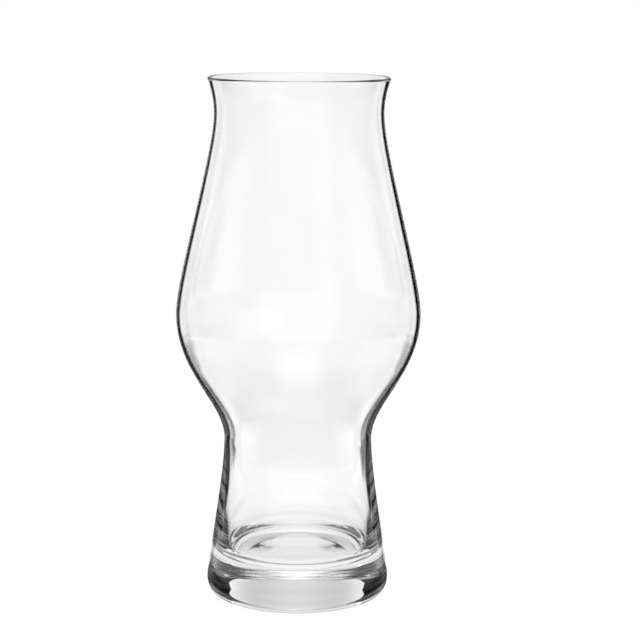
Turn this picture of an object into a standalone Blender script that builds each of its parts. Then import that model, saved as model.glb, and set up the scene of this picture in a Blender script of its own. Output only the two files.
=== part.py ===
"""A wheat beer glass: a thin blown bowl with a flared lip, a hollow stem and a heavy solid foot.

Lengths are in metres and +Z is up. The origin is the centre of the ring that the glass stands on.
Every piece is turned about the Z axis from a profile of (radius, height) points. A profile's height
is counted from the seam that the piece stands on, and the piece's location puts that seam in place.
"""

import math

import bpy
from mathutils import Vector
from mathutils.geometry import interpolate_bezier

# The whole height, and the lengths along the axis that share it; the shoulder takes what they leave
GLASS_HEIGHT = 0.1880
FLOOR_THICKNESS = 0.0140
FLOOR_FILLET = 0.0060
STEM_LENGTH = 0.0374
BELLY_RISE = 0.0456
LIP_RISE = 0.0130

# Outer diameters
FOOT_DIAMETER = 0.0663
WAIST_DIAMETER = 0.0537
BELLY_DIAMETER = 0.0885
NECK_DIAMETER = 0.0608
LIP_DIAMETER = 0.0651

# Walls, measured level; the collar is where the stem meets the foot
LIP_WALL = 0.0014
NECK_WALL = 0.0013
BELLY_WALL = 0.0015
WAIST_WALL = 0.0019
COLLAR_WALL = 0.0050

# The foot's rounded heel, the ring that it stands on and the hollow inside that ring
HEEL_HEIGHT = 0.0056
HEEL_WIDTH = 0.0037
REST_RING_WIDTH = 0.0079
PUNT_DEPTH = 0.0011

# Slope of the stem and the foot's side from the axis, and of the lip
STEM_FLARE = math.radians(7.6)
LIP_FLARE = math.radians(18.5)

# Reach of each curve's handle, which sets how tightly the outline turns there
LIP_HANDLE = 0.0036
NECK_UPPER_HANDLE = 0.0053
NECK_LOWER_HANDLE = 0.0137
BELLY_UPPER_HANDLE = 0.0126
BELLY_LOWER_HANDLE = 0.0209
WAIST_UPPER_HANDLE = 0.0135
WAIST_LOWER_HANDLE = 0.0115
COLLAR_HANDLE = 0.0060
BORE_HANDLE = 0.0120

# Tint, index and polish of the glass: the thin bowl is the clearest
BOWL_TINT = (0.98, 0.99, 0.99)
STEM_TINT = (0.96, 0.98, 0.97)
FOOT_TINT = (0.95, 0.97, 0.96)
BOWL_ROUGHNESS = 0.01
STEM_ROUGHNESS = 0.02
FOOT_ROUGHNESS = 0.02
GLASS_INDEX = 1.52

# Clear space between two pieces at a seam
SEAM_GAP = 0.0003

# Faces around a turned piece and points along a curve
SEGMENTS = 48
LONG_CURVE_POINTS = 13
SHORT_CURVE_POINTS = 7
MERGE_DISTANCE = 0.00005

# What follows from the driving sizes
FOOT_HEIGHT = FLOOR_THICKNESS + FLOOR_FILLET
BOWL_SEAT = FOOT_HEIGHT + STEM_LENGTH
BOWL_HEIGHT = GLASS_HEIGHT - BOWL_SEAT
NECK_RISE = BOWL_HEIGHT - LIP_RISE
FOOT_RADIUS = FOOT_DIAMETER / 2
WAIST_RADIUS = WAIST_DIAMETER / 2
BELLY_RADIUS = BELLY_DIAMETER / 2
NECK_RADIUS = NECK_DIAMETER / 2
LIP_RADIUS = LIP_DIAMETER / 2
HALF_GAP = SEAM_GAP / 2


def level(radius, height):
    """A profile point: its distance from the axis and its height above the piece's own seam."""
    return Vector((radius, height))


def curve(start, start_handle, end_handle, end, points):
    """A cubic curve between two profile points, with handles given as offsets from them."""
    return interpolate_bezier(start, start + start_handle, end + end_handle, end, points)


def arc(centre, across, up, first_angle, last_angle, points):
    """A stretch of an ellipse about a centre, with its half sizes across and up, between two angles."""
    step = (last_angle - first_angle) / (points - 1)
    angles = [first_angle + step * i for i in range(points)]
    return [centre + Vector((across * math.cos(a), up * math.sin(a))) for a in angles]


def join(*stretches):
    """One profile from stretches that share their end points."""
    profile = list(stretches[0])
    for stretch in stretches[1:]:
        start = 1 if (stretch[0] - profile[-1]).length < MERGE_DISTANCE else 0
        profile.extend(stretch[start:])
    return profile


def foot_heel():
    """The heel, from where the foot's sloping side runs into it down to the ring that rests."""
    side_angle = math.atan2(HEEL_HEIGHT * math.sin(STEM_FLARE), HEEL_WIDTH * math.cos(STEM_FLARE))
    centre = level(FOOT_RADIUS - HEEL_WIDTH, HEEL_HEIGHT)
    return arc(centre, HEEL_WIDTH, HEEL_HEIGHT, side_angle, -math.pi / 2, LONG_CURVE_POINTS)


def foot_side(height):
    """Outer radius of the foot's sloping side at a height above the table, straight up from the heel."""
    heel_top = foot_heel()[0]
    return heel_top.x - (height - heel_top.y) * math.tan(STEM_FLARE)


def bore_radius():
    """Radius of the stem's bore at the foot seam, where the floor's fillet runs up into it."""
    return foot_side(FOOT_HEIGHT) - COLLAR_WALL


def bowl_side(waist, belly, neck, lip):
    """One side of the bowl's wall, from the lip down to the waist, through the radii given."""
    waist_point = level(waist, HALF_GAP)
    belly_point = level(belly, BELLY_RISE)
    neck_point = level(neck, NECK_RISE)
    lip_slope = Vector((-math.sin(LIP_FLARE), -math.cos(LIP_FLARE)))
    return join(
        curve(lip, lip_slope * LIP_HANDLE, Vector((0, NECK_UPPER_HANDLE)), neck_point, SHORT_CURVE_POINTS),
        curve(neck_point, Vector((0, -NECK_LOWER_HANDLE)), Vector((0, BELLY_UPPER_HANDLE)), belly_point,
              LONG_CURVE_POINTS),
        curve(belly_point, Vector((0, -BELLY_LOWER_HANDLE)), Vector((0, WAIST_UPPER_HANDLE)), waist_point,
              LONG_CURVE_POINTS),
    )


def bowl_profile():
    """The bowl's wall: over the round lip, down the outside, across the seam and up the inside."""
    half_lip = LIP_WALL / 2
    lip_centre = level(LIP_RADIUS - half_lip, BOWL_HEIGHT - half_lip)
    lip = arc(lip_centre, half_lip, half_lip, math.pi - LIP_FLARE, -LIP_FLARE, SHORT_CURVE_POINTS)
    outside = bowl_side(WAIST_RADIUS, BELLY_RADIUS, NECK_RADIUS, lip[-1])
    inside = bowl_side(WAIST_RADIUS - WAIST_WALL, BELLY_RADIUS - BELLY_WALL, NECK_RADIUS - NECK_WALL, lip[0])
    return join(lip, outside, inside[::-1])[:-1]


def stem_profile():
    """The stem's wall: down the flared outside, across the foot seam and up the bore."""
    top = STEM_LENGTH - HALF_GAP
    flare = Vector((math.sin(STEM_FLARE), -math.cos(STEM_FLARE)))
    collar = level(foot_side(FOOT_HEIGHT + HALF_GAP), HALF_GAP)
    outside = curve(level(WAIST_RADIUS, top), Vector((0, -WAIST_LOWER_HANDLE)), -flare * COLLAR_HANDLE, collar,
                    LONG_CURVE_POINTS)
    bore = curve(level(bore_radius(), HALF_GAP), Vector((0, BORE_HANDLE)), Vector((0, -BORE_HANDLE)),
                 level(WAIST_RADIUS - WAIST_WALL, top), SHORT_CURVE_POINTS)
    return join(outside, bore)


def foot_profile():
    """Half of the foot: from the floor's centre over the rim, round the heel and in under the base."""
    rim_height = FOOT_HEIGHT - HALF_GAP
    fillet = arc(level(bore_radius() - FLOOR_FILLET, FOOT_HEIGHT), FLOOR_FILLET, FLOOR_FILLET, -math.pi / 2,
                 -math.asin(HALF_GAP / FLOOR_FILLET), SHORT_CURVE_POINTS)
    punt_radius = FOOT_RADIUS - HEEL_WIDTH - REST_RING_WIDTH
    dome_radius = (punt_radius ** 2 + PUNT_DEPTH ** 2) / (2 * PUNT_DEPTH)
    dome_angle = math.asin(punt_radius / dome_radius)
    punt = arc(level(0, PUNT_DEPTH - dome_radius), dome_radius, dome_radius, math.pi / 2 - dome_angle,
               math.pi / 2, SHORT_CURVE_POINTS)
    floor_centre = level(0, FLOOR_THICKNESS)
    rim = level(foot_side(rim_height), rim_height)
    return join([floor_centre], fillet, [rim], foot_heel(), punt)


def clear_glass(name, tint, roughness):
    """A Principled material for clear glass with a faint tint."""
    material = bpy.data.materials.new(name)
    material.use_nodes = True
    shader = material.node_tree.nodes["Principled BSDF"]
    shader.inputs["Base Color"].default_value = (*tint, 1.0)
    shader.inputs["Roughness"].default_value = roughness
    shader.inputs["Metallic"].default_value = 0.0
    shader.inputs["IOR"].default_value = GLASS_INDEX
    shader.inputs["Transmission Weight"].default_value = 1.0
    return material


def turn(name, profile, closed, seat, material, collection, parent):
    """Turn a profile about the Z axis into a named piece that stands on its seat."""
    mesh = bpy.data.meshes.new(name)
    last = len(profile)
    edges = [(i, i + 1) for i in range(last - 1)]
    if closed:
        edges.append((last - 1, 0))
    mesh.from_pydata([(point.x, 0.0, point.y) for point in profile], edges, [])
    piece = bpy.data.objects.new(name, mesh)
    piece.location = (0.0, 0.0, seat)
    piece.parent = parent
    piece.data.materials.append(material)
    collection.objects.link(piece)
    screw = piece.modifiers.new("turned", "SCREW")
    screw.axis = "Z"
    screw.steps = SEGMENTS
    screw.render_steps = SEGMENTS
    screw.use_merge_vertices = True
    screw.merge_threshold = MERGE_DISTANCE
    screw.use_smooth_shade = True
    return piece


def clear_scene():
    """Remove whatever objects the open file holds."""
    for existing in list(bpy.data.objects):
        bpy.data.objects.remove(existing, do_unlink=True)


def main():
    """Build the foot, the stem on it and the bowl on the stem."""
    clear_scene()
    collection = bpy.data.collections.new("wheat_beer_glass")
    bpy.context.scene.collection.children.link(collection)
    stand = bpy.data.objects.new("stand_point", None)
    collection.objects.link(stand)
    foot_glass = clear_glass("foot_glass", FOOT_TINT, FOOT_ROUGHNESS)
    stem_glass = clear_glass("stem_glass", STEM_TINT, STEM_ROUGHNESS)
    bowl_glass = clear_glass("bowl_glass", BOWL_TINT, BOWL_ROUGHNESS)
    turn("foot", foot_profile(), False, 0.0, foot_glass, collection, stand)
    turn("stem", stem_profile(), True, FOOT_HEIGHT, stem_glass, collection, stand)
    turn("bowl", bowl_profile(), True, BOWL_SEAT, bowl_glass, collection, stand)


main()
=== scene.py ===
"""Looks of a wheat beer glass: a blown bowl, a hollow stem and a solid foot of clear glass, fused hot.

Lengths are in metres. Angles are in radians in the drawn section and the camera, and in degrees in the light.
The glass is drawn as one section and turned about the Z axis, because the glass runs through its two fused
seams without a line. The turned form is then parted at the seams into the three pieces. The studio is a
bright field: white behind the glass, black beside it.
"""

import logging
import math
from dataclasses import dataclass, field
from enum import Enum
from typing import Any, Mapping, Sequence

import bpy
from mathutils import Matrix, Vector


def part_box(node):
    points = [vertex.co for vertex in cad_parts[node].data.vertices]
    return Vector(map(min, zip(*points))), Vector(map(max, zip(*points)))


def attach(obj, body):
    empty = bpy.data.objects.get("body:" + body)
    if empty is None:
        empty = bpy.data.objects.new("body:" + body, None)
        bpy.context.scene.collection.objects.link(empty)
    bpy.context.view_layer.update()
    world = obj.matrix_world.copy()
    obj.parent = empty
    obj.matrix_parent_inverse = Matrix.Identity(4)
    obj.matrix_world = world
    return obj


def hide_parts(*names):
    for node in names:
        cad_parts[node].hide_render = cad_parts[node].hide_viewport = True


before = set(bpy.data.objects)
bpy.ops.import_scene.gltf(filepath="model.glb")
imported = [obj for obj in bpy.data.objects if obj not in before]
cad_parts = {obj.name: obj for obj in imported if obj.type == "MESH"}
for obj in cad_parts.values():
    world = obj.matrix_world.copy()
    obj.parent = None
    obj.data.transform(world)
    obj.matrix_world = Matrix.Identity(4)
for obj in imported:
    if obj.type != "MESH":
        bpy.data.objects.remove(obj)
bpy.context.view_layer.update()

LOG = logging.getLogger("wheat_beer_glass")
BODY = "root"

# Fineness of the turned form and the floor
TURN_STEPS = 224
STEP_LENGTH = 0.0008
FEWEST_STEPS = 16
MERGE_DISTANCE = 0.000002
SEAM_TOLERANCE = 0.00001
FLOOR_STEPS = 128

# The photograph's frame and lens in pixels, and how far the glass stands off its middle
PHOTO_WIDTH = 640
FOCAL_LENGTH = 1967
AIM_OFFSET = 22

# The camera's sensor in millimetres
SENSOR_WIDTH = 36.0

# Level of the white that light straight through the glass finds, and the share of it that one wall alone takes
THROUGH_LEVEL = 0.98
LONE_WALL_SHADE = 0.09

# Place of the seam's finish among the materials of a piece
SEAM_SLOT = 1

DEGREES = 180 / math.pi
WHITE = (1.0, 1.0, 1.0, 1.0)


class Pick(Enum):
    """What edit mode selects."""

    POINTS = "VERT"
    EDGES = "EDGE"
    FACES = "FACE"


# Nodes


class Signal:
    """A shader socket that takes part in Python arithmetic, each operator adding one Math node."""

    def __init__(self, graph: "Graph", socket: bpy.types.NodeSocket) -> None:
        """Wrap one output socket of a graph."""
        self.graph = graph
        self.socket = socket

    def __add__(self, other: "Signal | float") -> "Signal":
        """This value plus another."""
        return self.graph.maths("ADD", self, other)

    __radd__ = __add__

    def __sub__(self, other: "Signal | float") -> "Signal":
        """This value less another."""
        return self.graph.maths("SUBTRACT", self, other)

    def __rsub__(self, other: float) -> "Signal":
        """A number less this value."""
        return self.graph.maths("SUBTRACT", other, self)

    def __mul__(self, other: "Signal | float") -> "Signal":
        """This value times another."""
        return self.graph.maths("MULTIPLY", self, other)

    __rmul__ = __mul__

    def __abs__(self) -> "Signal":
        """This value without its sign."""
        return self.graph.maths("ABSOLUTE", self)


Value = Signal | float | Sequence[float]


class Graph:
    """A node tree that is being written, for a material or for the world."""

    def __init__(self, tree: bpy.types.NodeTree) -> None:
        """Start from an empty tree."""
        self.tree = tree
        tree.nodes.clear()

    def node(
        self, kind: str, settings: Mapping[str, Any], inputs: Mapping[str | int, Value], output: str | int = 0
    ) -> Signal:
        """Add a node, set its settings and then fill its sockets.

        Args:
            kind: Type name of the node, without the ShaderNode that all share.
            settings: Properties of the node, set before its sockets.
            inputs: Number, vector or signal for each socket, by name or place.
            output: Name or place of the output that is handed on.

        Returns:
            The output that was asked for.
        """
        made = self.tree.nodes.new("ShaderNode" + kind)
        for name, setting in settings.items():
            setattr(made, name, setting)
        for name, value in inputs.items():
            if isinstance(value, Signal):
                self.tree.links.new(value.socket, made.inputs[name])
            else:
                made.inputs[name].default_value = value
        return Signal(self, made.outputs[output] if len(made.outputs) else None)

    def maths(self, operation: str, *values: "Signal | float") -> Signal:
        """Add a Math node for an operation on up to three values."""
        return self.node("Math", {"operation": operation}, dict(enumerate(values)))

    def ramp(self, value: Signal, start: float, end: float, low: Value = 0.0, high: Value = 1.0) -> Signal:
        """Ease from one level to another while a value runs between two marks.

        Args:
            value: The value that runs.
            start: Where the easing begins.
            end: Where it ends.
            low: Level up to the start.
            high: Level from the end on.

        Returns:
            The eased level.
        """
        return self.node("MapRange", {"interpolation_type": "SMOOTHSTEP"},
                         {0: value, 1: start, 2: end, 3: low, 4: high})


@dataclass(frozen=True)
class Ease:
    """A level that eases from low to high while a value runs from a start to an end."""

    start: float
    end: float
    low: float = 0.0
    high: float = 1.0

    def along(self, value: Signal) -> Signal:
        """The level while a value runs."""
        return value.graph.ramp(value, self.start, self.end, self.low, self.high)


# Finishes


@dataclass(frozen=True)
class ClearGlass:
    """Clear soda-lime glass: its polish, the faint waves of its making and the haze of handling."""

    name: str
    tint: tuple[float, float, float] = (1.0, 1.0, 1.0)
    haze_tint: tuple[float, float, float] = (0.99, 0.99, 0.99)
    polish: float = 0.0
    haze: float = 0.02
    haze_scale: float = 38.0
    haze_detail: float = 3.0
    haze_spread: Ease = Ease(0.48, 0.72)
    wave_scale: float = 26.0
    wave_detail: float = 1.0
    wave_height: float = 0.000004
    index: float = 1.52

    def material(self) -> bpy.types.Material:
        """Write the finish as a material on Object coordinates.

        Returns:
            The new material.
        """
        made = bpy.data.materials.new(self.name)
        made.use_nodes = True
        graph = Graph(made.node_tree)
        place = graph.node("TexCoord", {}, {}, "Object")
        cloud = graph.node("TexNoise", {},
                           {"Vector": place, "Scale": self.haze_scale, "Detail": self.haze_detail})
        smear = self.haze_spread.along(cloud)
        wave = graph.node("TexNoise", {},
                          {"Vector": place, "Scale": self.wave_scale, "Detail": self.wave_detail})
        bump = graph.node("Bump", {}, {"Strength": 1.0, "Distance": self.wave_height, "Height": wave})
        # A Mix of colours has them in its sockets 6 and 7, and gives the result at its output 2
        colour = graph.node("Mix", {"data_type": "RGBA"},
                            {0: smear, 6: (*self.tint, 1.0), 7: (*self.haze_tint, 1.0)}, 2)
        glass = graph.node("BsdfPrincipled", {}, {
            "Base Color": colour,
            "Roughness": self.polish + smear * self.haze,
            "IOR": self.index,
            "Transmission Weight": 1.0,
            "Normal": bump,
        })
        graph.node("OutputMaterial", {}, {"Surface": glass})
        return made


@dataclass(frozen=True)
class FusedSeam:
    """The plane where two pieces have run into one another: glass against glass, so nothing is seen."""

    name: str = "fused_seam"

    def material(self) -> bpy.types.Material:
        """Write the seam, once for all pieces, as a material that lets everything through.

        Returns:
            The material.
        """
        written = bpy.data.materials.get(self.name)
        if written:
            return written
        made = bpy.data.materials.new(self.name)
        made.use_nodes = True
        graph = Graph(made.node_tree)
        clear = graph.node("BsdfPrincipled", {}, {"Base Color": WHITE, "Alpha": 0.0})
        graph.node("OutputMaterial", {}, {"Surface": clear})
        return made


FOOT_GLASS = ClearGlass("solid_foot_glass")
STEM_GLASS = ClearGlass("hollow_stem_glass", polish=0.03, wave_scale=70.0, wave_height=0.00002)
BOWL_GLASS = ClearGlass("blown_bowl_glass")
FUSED_SEAM = FusedSeam()


# The drawn section


@dataclass(frozen=True)
class Stretch:
    """One curve of the glass's section, in points of (radius, height), with a handle at each end."""

    start: Vector
    start_handle: Vector
    end_handle: Vector
    end: Vector

    def steps(self) -> int:
        """How many short lines stand for the curve."""
        return max(FEWEST_STEPS, math.ceil((self.end - self.start).length / STEP_LENGTH))


def point(radius: float, height: float) -> Vector:
    """A point of the section."""
    return Vector((radius, height))


def straight(start: Vector, end: Vector) -> Stretch:
    """A straight stretch between two points."""
    third = (end - start) / 3
    return Stretch(start, third, -third, end)


def rounded(centre: Vector, across: float, up: float, first: float, last: float) -> Stretch:
    """A stretch of an ellipse, of a quarter turn at most.

    Args:
        centre: Centre of the ellipse.
        across: Half its width.
        up: Half its height.
        first: Angle that the stretch starts at.
        last: Angle that it ends at.

    Returns:
        The stretch.
    """
    reach = 4 / 3 * math.tan((last - first) / 4)

    def on_edge(angle: float) -> Vector:
        """The point of the ellipse at an angle."""
        return centre + Vector((across * math.cos(angle), up * math.sin(angle)))

    def along_edge(angle: float) -> Vector:
        """The direction of the ellipse at an angle."""
        return Vector((-across * math.sin(angle), up * math.cos(angle)))

    return Stretch(on_edge(first), along_edge(first) * reach, along_edge(last) * -reach, on_edge(last))


@dataclass(frozen=True)
class Seam:
    """A level ring where two pieces are fused."""

    height: float
    outer: float
    inner: float


# Edit-mode helpers


def take(piece: bpy.types.Object) -> None:
    """Make one object the only selected one, and the active one.

    Args:
        piece: The object.
    """
    bpy.ops.object.select_all(action="DESELECT")
    piece.select_set(True)
    bpy.context.view_layer.objects.active = piece


def clear_picks(kind: Pick) -> None:
    """Deselect the active mesh all over and set what edit mode selects.

    Args:
        kind: What edit mode is to select.
    """
    bpy.ops.object.mode_set(mode="EDIT")
    bpy.ops.mesh.select_mode(type=kind.value)
    bpy.ops.mesh.select_all(action="DESELECT")
    bpy.ops.object.mode_set(mode="OBJECT")


def pick_faces(piece: bpy.types.Object, low: float, high: float) -> None:
    """Select the faces whose centres lie between two heights.

    Args:
        piece: The mesh object, in object mode.
        low: Lower height.
        high: Upper height.
    """
    for polygon in piece.data.polygons:
        polygon.select = low < polygon.center.z < high


def pick_ring_edges(piece: bpy.types.Object, height: float) -> None:
    """Select the edges that lie level at one height.

    Args:
        piece: The mesh object, in object mode.
        height: Where the edges lie.
    """
    points = piece.data.vertices
    for edge in piece.data.edges:
        edge.select = all(abs(points[end].co.z - height) < SEAM_TOLERANCE for end in edge.vertices)


# The glass


@dataclass
class GlassPiece:
    """What the three pieces share: a place between two seams, a finish and the solid each stands for."""

    name: str
    node: str
    slot: str
    finish: ClearGlass
    low: float
    high: float
    seams: list[Seam] = field(default_factory=list)
    mesh_object: bpy.types.Object | None = None

    def part_from(self, whole: bpy.types.Object) -> None:
        """Part this piece from a copy of the turned glass, and close it at its seams.

        Args:
            whole: The whole glass, which also lends its smooth normals.
        """
        take(whole)
        bpy.ops.object.duplicate()
        piece = bpy.context.object
        piece.name = piece.data.name = self.name
        clear_picks(Pick.FACES)
        pick_faces(piece, self.low, self.high)
        bpy.ops.object.mode_set(mode="EDIT")
        bpy.ops.mesh.select_all(action="INVERT")
        bpy.ops.mesh.delete(type="FACE")
        bpy.ops.object.mode_set(mode="OBJECT")
        self.mesh_object = piece
        self.keep_normals(whole)
        piece.data.materials.append(self.finish.material())
        piece.data.materials.append(FUSED_SEAM.material())
        for seam in self.seams:
            self.close(seam)

    def keep_normals(self, whole: bpy.types.Object) -> None:
        """Take the whole glass's normals, so that light bends evenly across a seam.

        Args:
            whole: The whole glass.
        """
        lend = self.mesh_object.modifiers.new("even_normals", "DATA_TRANSFER")
        lend.object = whole
        lend.use_loop_data = True
        lend.data_types_loops = {"CUSTOM_NORMAL"}
        lend.loop_mapping = "NEAREST_POLYNOR"
        take(self.mesh_object)
        bpy.ops.object.modifier_apply(modifier=lend.name)

    def close(self, seam: Seam) -> None:
        """Bridge the open rings at a seam with faces of the seam's own finish.

        Args:
            seam: The seam.
        """
        take(self.mesh_object)
        clear_picks(Pick.EDGES)
        pick_ring_edges(self.mesh_object, seam.height)
        bpy.ops.object.mode_set(mode="EDIT")
        bpy.ops.mesh.mark_sharp()
        bpy.ops.mesh.bridge_edge_loops()
        self.mesh_object.active_material_index = SEAM_SLOT
        bpy.ops.object.material_slot_assign()
        bpy.ops.mesh.faces_shade_flat()
        bpy.ops.object.mode_set(mode="OBJECT")

    def dress(self) -> None:
        """Tie the piece to the frame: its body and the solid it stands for."""
        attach(self.mesh_object, BODY)
        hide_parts(self.node)


@dataclass
class BlownBowl(GlassPiece):
    """The thin bowl: a round flared lip, a drawn-in neck, a wide belly and a waist at the seam."""

    lip_radius: float = 0.03255
    lip_wall: float = 0.0014
    lip_flare: float = math.radians(18.5)
    lip_handle: float = 0.0036
    neck_drop: float = 0.0130
    neck_radius: float = 0.0304
    neck_wall: float = 0.0013
    neck_upper_handle: float = 0.0053
    neck_lower_handle: float = 0.0137
    belly_rise: float = 0.0456
    belly_radius: float = 0.04425
    belly_wall: float = 0.0015
    belly_upper_handle: float = 0.0126
    belly_lower_handle: float = 0.0209
    waist_handle: float = 0.0135

    def lip(self) -> list[Stretch]:
        """Draw the round lip.

        Returns:
            Its two stretches, from the inside over the top to the outside.
        """
        half = self.lip_wall / 2
        centre = point(self.lip_radius - half, self.high - half)
        top = math.pi / 2 - self.lip_flare
        return [
            rounded(centre, half, half, top + math.pi / 2, top),
            rounded(centre, half, half, top, top - math.pi / 2),
        ]

    def side(self, lip: Vector, neck: float, belly: float, waist: float) -> list[Stretch]:
        """Draw one side of the wall, from the lip down to the waist.

        Args:
            lip: Where the side leaves the round lip.
            neck: Radius at the neck.
            belly: Radius at the belly.
            waist: Radius at the waist seam.

        Returns:
            The side's stretches in order.
        """
        neck_point = point(neck, self.high - self.neck_drop)
        belly_point = point(belly, self.low + self.belly_rise)
        slope = Vector((-math.sin(self.lip_flare), -math.cos(self.lip_flare)))
        return [
            Stretch(lip, slope * self.lip_handle, Vector((0, self.neck_upper_handle)), neck_point),
            Stretch(neck_point, Vector((0, -self.neck_lower_handle)),
                    Vector((0, self.belly_upper_handle)), belly_point),
            Stretch(belly_point, Vector((0, -self.belly_lower_handle)),
                    Vector((0, self.waist_handle)), point(waist, self.low)),
        ]

    def section(self) -> list[Stretch]:
        """Draw the bowl's wall.

        Returns:
            The inside, the lip and the outside.
        """
        waist = self.seams[0]
        lip = self.lip()
        inside = self.side(lip[0].start, self.neck_radius - self.neck_wall,
                           self.belly_radius - self.belly_wall, waist.inner)
        outside = self.side(lip[1].end, self.neck_radius, self.belly_radius, waist.outer)
        return inside + lip + outside


@dataclass
class HollowStem(GlassPiece):
    """The short stem below the waist: it flares to the foot outside, and its bore widens a little."""

    flare: float = math.radians(7.6)
    waist_handle: float = 0.0115
    collar_handle: float = 0.0060
    bore_handle: float = 0.0120

    def section(self) -> list[Stretch]:
        """Draw the stem's wall.

        Returns:
            The outside and the bore.
        """
        collar, waist = self.seams
        slope = Vector((-math.sin(self.flare), math.cos(self.flare)))
        return [
            Stretch(point(waist.outer, waist.height), Vector((0, -self.waist_handle)),
                    slope * self.collar_handle, point(collar.outer, collar.height)),
            Stretch(point(collar.inner, collar.height), Vector((0, self.bore_handle)),
                    Vector((0, -self.bore_handle)), point(waist.inner, waist.height)),
        ]


@dataclass
class SolidFoot(GlassPiece):
    """The heavy foot: a thick floor, a rounded heel, the ring that it stands on and a shallow punt."""

    radius: float = 0.03315
    fillet: float = 0.0060
    dish_slope: float = math.radians(1.95)
    heel_width: float = 0.0037
    heel_height: float = 0.0056
    ring_width: float = 0.0079
    ring_slope: float = math.radians(2.85)
    punt_depth: float = 0.0011
    flare: float = math.radians(7.6)

    def heel(self) -> list[Stretch]:
        """Draw the rounded heel.

        Returns:
            Its two stretches, from where the sloping side runs into it down to the ring.
        """
        centre = point(self.radius - self.heel_width, self.low + self.heel_height)
        top = math.atan2(self.heel_height * math.sin(self.flare), self.heel_width * math.cos(self.flare))
        turns = (top, 0.0, -math.pi / 2)
        return [rounded(centre, self.heel_width, self.heel_height, first, last)
                for first, last in zip(turns, turns[1:])]

    def side_radius(self, height: float) -> float:
        """Outer radius of the sloping side at a height."""
        top = self.heel()[0].start
        return top.x - (height - top.y) * math.tan(self.flare)

    def top_side(self, collar: Seam) -> list[Stretch]:
        """Draw half of the foot's top.

        Args:
            collar: The seam with the stem.

        Returns:
            The dished floor from its middle, and the fillet up to the seam.
        """
        fillet_centre = point(collar.inner - self.fillet, collar.height)
        fillet = rounded(fillet_centre, self.fillet, self.fillet, self.dish_slope - math.pi / 2, 0.0)
        dish = fillet.start.x / math.sin(self.dish_slope)
        dish_centre = fillet.start + Vector((-fillet.start.x, dish * math.cos(self.dish_slope)))
        dished = rounded(dish_centre, dish, dish, -math.pi / 2, self.dish_slope - math.pi / 2)
        return [dished, fillet]

    def underside(self, heel_end: Vector) -> list[Stretch]:
        """Draw half of the foot's underside.

        Args:
            heel_end: Where the heel runs into the ring.

        Returns:
            The ring that it stands on, and the punt up to its middle.
        """
        third = self.ring_width / 3
        rise = math.tan(self.ring_slope)
        ring_end = heel_end + Vector((-self.ring_width, self.ring_width * rise / 2))
        ring = Stretch(heel_end, Vector((-third, 0)), Vector((third, -third * rise)), ring_end)
        dome = (ring_end.x ** 2 + self.punt_depth ** 2) / (2 * self.punt_depth)
        dome_centre = ring_end + Vector((-ring_end.x, self.punt_depth - dome))
        punt = rounded(dome_centre, dome, dome, math.acos(ring_end.x / dome), math.pi / 2)
        return [ring, punt]

    def section(self) -> list[Stretch]:
        """Draw half of the foot.

        Returns:
            The top, then the side, the heel and the underside.
        """
        collar = self.seams[0]
        heel = self.heel()
        side = straight(point(collar.outer, collar.height), heel[0].start)
        return [*self.top_side(collar), side, *heel, *self.underside(heel[-1].end)]


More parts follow.
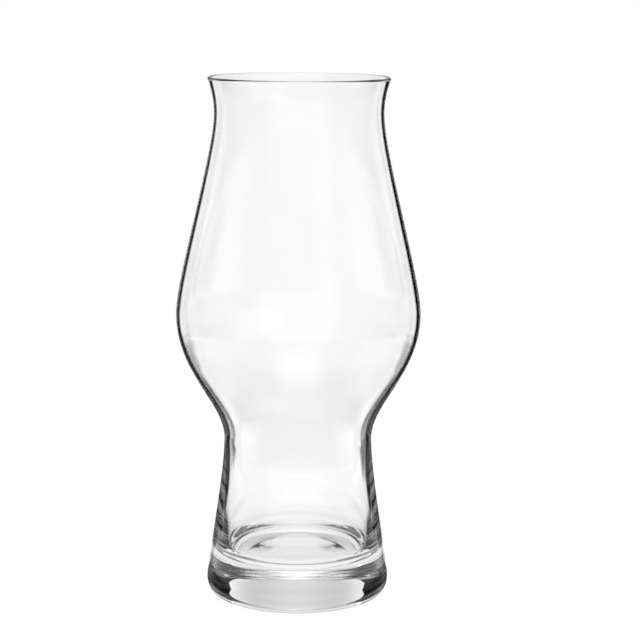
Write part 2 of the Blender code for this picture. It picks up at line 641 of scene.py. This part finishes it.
@dataclass
class BeerGlass:
    """The whole glass: the three pieces and the form that they are parted from."""

    waist_radius: float = 0.02685
    waist_wall: float = 0.0019
    collar_wall: float = 0.0050
    pieces: list[GlassPiece] = field(default_factory=list)

    def plan(self) -> None:
        """Place the pieces by the frame's boxes, with each seam in the middle of its gap."""
        foot_low, foot_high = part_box("foot")
        stem_low, stem_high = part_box("stem")
        bowl_low, bowl_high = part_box("bowl")
        collar_height = (foot_high.z + stem_low.z) / 2
        waist_height = (stem_high.z + bowl_low.z) / 2
        foot = SolidFoot("solid_foot", "foot", "foot_glass", FOOT_GLASS, foot_low.z, collar_height)
        collar_outer = foot.side_radius(collar_height)
        collar = Seam(collar_height, collar_outer, collar_outer - self.collar_wall)
        waist = Seam(waist_height, self.waist_radius, self.waist_radius - self.waist_wall)
        foot.seams = [collar]
        stem = HollowStem("hollow_stem", "stem", "stem_glass", STEM_GLASS, collar_height, waist_height,
                          [collar, waist])
        bowl = BlownBowl("blown_bowl", "bowl", "bowl_glass", BOWL_GLASS, waist_height, bowl_high.z, [waist])
        self.pieces = [foot, stem, bowl]

    def draw(self) -> bpy.types.Object:
        """Draw the section as curves in the plane through the axis.

        Returns:
            The section as a mesh of edges.
        """
        bpy.ops.object.select_all(action="DESELECT")
        bpy.ops.curve.primitive_bezier_curve_add()
        drawing = bpy.context.object
        drawing.data.dimensions = "3D"
        drawing.data.splines.clear()
        for stretch in (s for piece in self.pieces for s in piece.section()):
            spline = drawing.data.splines.new("BEZIER")
            spline.resolution_u = stretch.steps()
            spline.bezier_points.add(1)
            ends = ((stretch.start, stretch.start_handle), (stretch.end, stretch.end_handle))
            for knot, (place, handle) in zip(spline.bezier_points, ends):
                knot.handle_left_type = knot.handle_right_type = "FREE"
                knot.co = (place.x, 0.0, place.y)
                reach = place + handle
                knot.handle_left = knot.handle_right = (reach.x, 0.0, reach.y)
        take(drawing)
        bpy.ops.object.convert(target="MESH")
        return bpy.context.object

    def turn(self, drawing: bpy.types.Object) -> bpy.types.Object:
        """Spin the section about the axis and close its seam and its poles.

        Args:
            drawing: The section as edges.

        Returns:
            The whole glass as one smooth closed mesh.
        """
        take(drawing)
        bpy.ops.object.mode_set(mode="EDIT")
        bpy.ops.mesh.select_mode(type=Pick.POINTS.value)
        bpy.ops.mesh.select_all(action="SELECT")
        bpy.ops.mesh.remove_doubles(threshold=MERGE_DISTANCE)
        bpy.ops.object.mode_set(mode="OBJECT")
        bpy.ops.object.modifier_add(type="SCREW")
        screw = drawing.modifiers[-1]
        screw.axis = "Z"
        screw.steps = screw.render_steps = TURN_STEPS
        screw.use_merge_vertices = True
        screw.merge_threshold = MERGE_DISTANCE
        bpy.ops.object.modifier_apply(modifier=screw.name)
        bpy.ops.object.mode_set(mode="EDIT")
        bpy.ops.mesh.select_all(action="SELECT")
        bpy.ops.mesh.normals_make_consistent(inside=False)
        bpy.ops.object.mode_set(mode="OBJECT")
        bpy.ops.object.shade_smooth()
        return drawing

    def build(self) -> None:
        """Draw, turn and part the glass."""
        self.plan()
        whole = self.turn(self.draw())
        for piece in self.pieces:
            piece.part_from(whole)
        bpy.data.objects.remove(whole, do_unlink=True)

    def dress(self) -> None:
        """Tie every piece to the frame and report it."""
        for piece in self.pieces:
            piece.dress()
            faces = len(piece.mesh_object.data.polygons)
            LOG.info("%s: %d faces, stands for %s", piece.name, faces, piece.node)


# The studio


class LightJourney:
    """What the light has gone through: the faces that it has passed, and how often it has been mirrored."""

    def __init__(self, graph: Graph) -> None:
        """Read the light's path in a graph.

        Args:
            graph: The node tree of the floor or the world.
        """
        self.graph = graph
        self.seen = graph.node("LightPath", {}, {}, "Is Camera Ray")
        self.passed = graph.node("LightPath", {}, {}, "Transmission Depth")
        self.mirrored = graph.node("LightPath", {}, {}, "Glossy Depth")

    def passed_from(self, faces: int) -> Signal:
        """One for light that has passed a number of faces or more, else none."""
        return self.graph.maths("GREATER_THAN", self.passed, faces - 0.5)

    def mirrored_from(self, times: int) -> Signal:
        """One for light that has been mirrored a number of times or more, else none."""
        return self.graph.maths("GREATER_THAN", self.mirrored, times - 0.5)

    def straight_from(self, faces: int) -> Signal:
        """One for light that has passed a number of faces or more without a mirror, else none."""
        return self.passed_from(faces) * (1 - self.mirrored_from(1))

    def lone_wall(self) -> Signal:
        """One for light that has come straight through one wall alone, else none."""
        return self.straight_from(2) - self.straight_from(3)

    def mirrored_once(self) -> Signal:
        """One for light that has been mirrored once on its way through, as in the foot, else none."""
        return self.passed_from(2) * (self.mirrored_from(1) - self.mirrored_from(2))

    def sheen(self) -> Signal:
        """One for light that the outer face or the far wall has mirrored, else none."""
        return (1 - self.passed_from(1) + self.passed_from(4)) * self.mirrored_from(1)


@dataclass(frozen=True)
class Panel:
    """A soft-edged panel, by the bearings of its sides from +Y towards +X, and its ends.

    Round the glass the ends are rises above the horizon. On the floor they are distances from the axis.
    """

    left: float
    right: float
    low: float
    high: float
    low_level: float
    high_level: float
    left_fade: float = 0.6
    right_fade: float = 0.6
    low_fade: float = 0.6
    high_fade: float = 0.6
    edge_gain: float = 0.0
    edge_start: float = 0.55
    core_gain: float = 0.0
    core_end: float = 0.5

    def shine(self, bearing: Signal, height: Signal) -> Signal:
        """The light that the panel sends from each direction.

        Args:
            bearing: Bearing of the direction.
            height: Its rise above the horizon, or the distance from the axis on the floor.

        Returns:
            The panel's level inside it and none outside.
        """
        half = (self.right - self.left) / 2
        off = abs(bearing - (self.left + self.right) / 2)
        across = (Ease(self.left - self.left_fade, self.left + self.left_fade).along(bearing)
                  * Ease(self.right - self.right_fade, self.right + self.right_fade, 1.0, 0.0).along(bearing))
        upright = (Ease(self.low - self.low_fade, self.low + self.low_fade).along(height)
                   * Ease(self.high - self.high_fade, self.high + self.high_fade, 1.0, 0.0).along(height))
        gain = (Ease(half * self.edge_start, half, 1.0, 1.0 + self.edge_gain).along(off)
                + Ease(0.0, half * self.core_end, self.core_gain, 0.0).along(off))
        level = Ease(self.low, self.high, self.low_level, self.high_level).along(height)
        return across * upright * gain * level


@dataclass
class PaleFloor:
    """The plain floor: white to the camera, and to light from the glass a lit strip with cards beside it."""

    name: str = "pale_floor"
    radius: float = 1.2
    drop: float = 0.0002
    colour: tuple[float, float, float] = (0.9, 0.9, 0.9)
    rim: Ease = Ease(0.340, 0.420, 1.0, 0.0)
    seen_level: float = 1.12
    shadow_share: float = 0.15
    spot: Ease = Ease(0.027, 0.035, 1.0, 0.0)
    strip_half_width: float = 0.058
    strip_near_spread: float = 1.28
    strip_far_spread: float = 0.325
    strip_edge: Ease = Ease(-0.004, 0.004)
    strip_run: Ease = Ease(0.035, 0.130, 0.93, 1.08)
    strip_end: Ease = Ease(0.140, 0.144, 1.0, 0.95)
    beside_level: float = 0.02
    cards: tuple[Panel, ...] = (
        Panel(54.5, 105.0, 0.082, 0.170, 0.90, 0.90,
              left_fade=2.5, right_fade=25.0, low_fade=0.012, high_fade=0.010),
        Panel(62.0, 105.0, 0.170, 0.235, 0.90, 0.90,
              left_fade=2.5, right_fade=25.0, low_fade=0.010, high_fade=0.030),
        Panel(70.0, 105.0, 0.235, 0.315, 0.85, 0.75,
              left_fade=8.0, right_fade=25.0, low_fade=0.030, high_fade=0.030),
        Panel(40.5, 105.0, 0.315, 0.400, 0.75, 0.35,
              left_fade=2.0, right_fade=25.0, low_fade=0.030, high_fade=0.060),
    )
    shades: tuple[Panel, ...] = (
        Panel(17.0, 62.0, 0.125, 0.260, 1.0, 1.0,
              left_fade=1.5, right_fade=4.0, low_fade=0.010, high_fade=0.020),
        Panel(-24.0, -17.0, 0.125, 0.260, 1.0, 1.0,
              left_fade=3.0, right_fade=1.5, low_fade=0.010, high_fade=0.020),
    )
    often: int = 6
    often_shade: float = 0.80

    def lay(self) -> None:
        """Lay the floor under the glass."""
        bpy.ops.object.select_all(action="DESELECT")
        bpy.ops.mesh.primitive_circle_add(vertices=FLOOR_STEPS, radius=self.radius, fill_type="NGON",
                                          location=(0, 0, -self.drop))
        floor = bpy.context.object
        floor.name = self.name
        bpy.ops.object.transform_apply(location=True, rotation=True, scale=True)
        floor.data.materials.append(self.material())

    def strip(self, place: Signal, radius: Signal, journey: LightJourney) -> Signal:
        """What light from the glass finds on the floor.

        Args:
            place: Where it meets the floor.
            radius: How far that is from the axis.
            journey: What the light has gone through.

        Returns:
            The level of the lit strip and its cards, and white behind for light that came straight through.
        """
        graph = place.graph
        across = graph.node("SeparateXYZ", {}, {0: place}, "X")
        away = graph.node("SeparateXYZ", {}, {0: place}, "Y")
        bearing = graph.maths("ARCTAN2", across, away) * DEGREES
        half = graph.maths("MAXIMUM", away * self.strip_far_spread, self.strip_half_width)
        inside = graph.maths("MINIMUM", away * self.strip_near_spread, half) - abs(across)
        lit = graph.maths("MAXIMUM", self.spot.along(radius), self.strip_edge.along(inside))
        level = lit * (self.strip_run.along(radius) * self.strip_end.along(away)) + self.beside_level
        for card in self.cards:
            level = level + card.shine(abs(bearing), radius)
        through = journey.straight_from(3) * THROUGH_LEVEL
        for shade in self.shades:
            through = through * (1 - shade.shine(bearing, radius))
        level = graph.maths("MAXIMUM", level, through)
        level = level * (1 - journey.lone_wall() * LONE_WALL_SHADE)
        return level * (1 - journey.mirrored_from(self.often) * self.often_shade)

    def material(self) -> bpy.types.Material:
        """Write the floor's material: white with the glass's shadow to the camera, the strip to other light.

        Returns:
            The new material.
        """
        made = bpy.data.materials.new(self.name)
        made.use_nodes = True
        graph = Graph(made.node_tree)
        journey = LightJourney(graph)
        place = graph.node("TexCoord", {}, {}, "Object")
        radius = graph.node("VectorMath", {"operation": "LENGTH"}, {0: place}, "Value")
        glow = journey.seen * self.seen_level + (1 - journey.seen) * self.strip(place, radius, journey)
        white = graph.node("Emission", {}, {"Color": glow, "Strength": 1.0})
        pale = graph.node("BsdfDiffuse", {}, {"Color": (*self.colour, 1.0)})
        lit = graph.node("MixShader", {}, {0: journey.seen * self.shadow_share, 1: white, 2: pale})
        open_air = graph.node("BsdfTransparent", {}, {})
        shown = graph.maths("MAXIMUM", journey.seen, self.rim.along(radius))
        surface = graph.node("MixShader", {}, {0: shown, 1: open_air, 2: lit})
        graph.node("OutputMaterial", {}, {"Surface": surface})
        return made


@dataclass
class BrightField:
    """The light round the glass: white to the camera, panels on black to light that has met the glass."""

    name: str = "bright_field"
    darkness: float = 0.004
    overhead_slant: Ease = Ease(16.0, 30.0, 1.0, 0.0)
    overhead_foot: Ease = Ease(29.0, 34.0)
    overhead_climb: tuple[float, float] = (44.0, 58.0)
    overhead_low: Ease = Ease(70.0, 120.0, 0.6, 0.25)
    overhead_high: Ease = Ease(80.0, 120.0, 1.1, 1.5)
    front_fill: Ease = Ease(130.0, 150.0, 0.0, 0.30)
    side_inner: Ease = Ease(45.0, 62.0, 0.95, 0.0)
    side_outer_start: Ease = Ease(45.0, 62.0)
    side_outer: Ease = Ease(50.0, 110.0, 0.4, 0.05)
    side_outer_rise: Ease = Ease(-13.0, 3.0, 0.3, 1.0)
    side_foot: Ease = Ease(-30.0, -25.0)
    side_top: Ease = Ease(6.0, 11.0, 1.0, 0.0)
    side_left: Ease = Ease(-32.0, -31.0, 1.0, 0.0)
    side_right: Ease = Ease(33.5, 34.5)
    backdrops: tuple[Panel, ...] = (
        Panel(-13.5, 12.0, -7.0, 2.0, 1.10, 1.04, high_fade=2.5),
        Panel(-13.5, 12.0, -20.0, -7.0, 1.07, 1.10),
    )
    window: Panel = Panel(-34.5, 35.5, 2.0, 31.5, 0.68, 0.63,
                          low_fade=2.5, high_fade=2.5, edge_gain=0.4, core_gain=0.15)
    sheen_shade: float = 0.60
    foot_panels: tuple[Panel, ...] = (
        Panel(108.0, 160.0, 6.0, 33.0, 0.52, 0.42,
              left_fade=8.0, right_fade=8.0, low_fade=3.0, high_fade=3.0),
        Panel(-98.0, -34.0, 25.0, 47.0, 0.40, 0.40,
              left_fade=6.0, right_fade=3.0, low_fade=3.0, high_fade=4.0),
    )
    through_top: Ease = Ease(7.0, 10.0, 1.0, 0.0)

    def overhead(self, across: Signal, bearing: Signal, rise: Signal) -> Signal:
        """The long soft light over the glass, from behind it to before it.

        Args:
            across: How far a direction points to the side.
            bearing: Its bearing.
            rise: Its rise.

        Returns:
            The light's level.
        """
        slant = across.graph.maths("ARCSINE", abs(across)) * DEGREES
        low, high = self.overhead_low.along(abs(bearing)), self.overhead_high.along(abs(bearing))
        level = across.graph.ramp(rise, *self.overhead_climb, low, high)
        return self.overhead_slant.along(slant) * self.overhead_foot.along(rise) * level

    def sides(self, bearing: Signal, rise: Signal) -> Signal:
        """The fill to both sides of the window, up to a little above the horizon.

        Args:
            bearing: Bearing of a direction.
            rise: Its rise.

        Returns:
            The fill's level.
        """
        inner = self.side_inner.along(abs(bearing)) * self.side_foot.along(rise)
        outer = self.side_outer_start.along(abs(bearing)) * self.side_outer.along(abs(bearing))
        outer = outer * self.side_outer_rise.along(rise) * self.side_foot.along(rise)
        beside = self.side_left.along(bearing) + self.side_right.along(bearing)
        return (inner + outer) * beside * self.side_top.along(rise)

    def light(self) -> None:
        """Light the glass from the world."""
        world = bpy.data.worlds.new(self.name)
        bpy.context.scene.world = world
        world.use_nodes = True
        graph = Graph(world.node_tree)
        journey = LightJourney(graph)
        direction = graph.node("TexCoord", {}, {}, "Generated")
        across = graph.node("SeparateXYZ", {}, {0: direction}, "X")
        away = graph.node("SeparateXYZ", {}, {0: direction}, "Y")
        up = graph.node("SeparateXYZ", {}, {0: direction}, "Z")
        bearing = graph.maths("ARCTAN2", across, away) * DEGREES
        rise = graph.maths("ARCSINE", up) * DEGREES
        level = self.overhead(across, bearing, rise) + self.darkness + self.front_fill.along(abs(bearing))
        level = level + self.sides(bearing, rise)
        for backdrop in self.backdrops:
            level = level + backdrop.shine(bearing, rise)
        for panel in self.foot_panels:
            level = level + panel.shine(bearing, rise) * journey.mirrored_once()
        level = level + self.window.shine(bearing, rise) * (1 - journey.sheen() * self.sheen_shade)
        through = journey.straight_from(2) * self.through_top.along(rise) * THROUGH_LEVEL
        level = graph.maths("MAXIMUM", level, through)
        level = level * (1 - journey.lone_wall() * LONE_WALL_SHADE)
        level = journey.seen + (1 - journey.seen) * level
        glow = graph.node("Background", {}, {"Color": level, "Strength": 1.0})
        graph.node("OutputWorld", {}, {"Surface": glow})


@dataclass
class PhotoCamera:
    """The camera where the photograph was taken from."""

    name: str = "photo_camera"
    distance: float = 0.700
    height: float = 0.22309
    pitch: float = 0.17314
    yaw: float = math.atan(AIM_OFFSET / FOCAL_LENGTH)
    roll: float = math.radians(0.34)

    def place(self) -> None:
        """Place the camera and aim it."""
        bpy.ops.object.camera_add()
        camera = bpy.context.object
        camera.name = self.name
        camera.data.sensor_width = SENSOR_WIDTH
        camera.data.lens = SENSOR_WIDTH * FOCAL_LENGTH / PHOTO_WIDTH
        stand = Matrix.Translation((0.0, -self.distance, self.height))
        aim = Matrix.Rotation(-self.yaw, 4, "Z") @ Matrix.Rotation(math.pi / 2 - self.pitch, 4, "X")
        camera.matrix_world = stand @ aim @ Matrix.Rotation(self.roll, 4, "Z")
        bpy.context.scene.camera = camera


@dataclass
class Studio:
    """The floor, the light and the camera, and how far light is followed through the glass."""

    floor: PaleFloor = field(default_factory=PaleFloor)
    surroundings: BrightField = field(default_factory=BrightField)
    camera: PhotoCamera = field(default_factory=PhotoCamera)
    bounces: int = 96

    def set_view(self) -> None:
        """Set the plain view transform, and let light bounce far enough to run up inside the walls."""
        scene = bpy.context.scene
        scene.view_settings.view_transform = "Standard"
        scene.cycles.max_bounces = self.bounces
        scene.cycles.transmission_bounces = self.bounces
        scene.cycles.glossy_bounces = self.bounces
        scene.cycles.transparent_max_bounces = self.bounces

    def build(self) -> None:
        """Set up the floor, the light, the camera and the view."""
        self.floor.lay()
        self.surroundings.light()
        self.camera.place()
        self.set_view()


def main() -> None:
    """Build the glass and the studio round it."""
    logging.basicConfig(level=logging.INFO, format="%(name)s: %(message)s")
    glass = BeerGlass()
    glass.build()
    glass.dress()
    Studio().build()


if __name__ == "__main__":
    main()
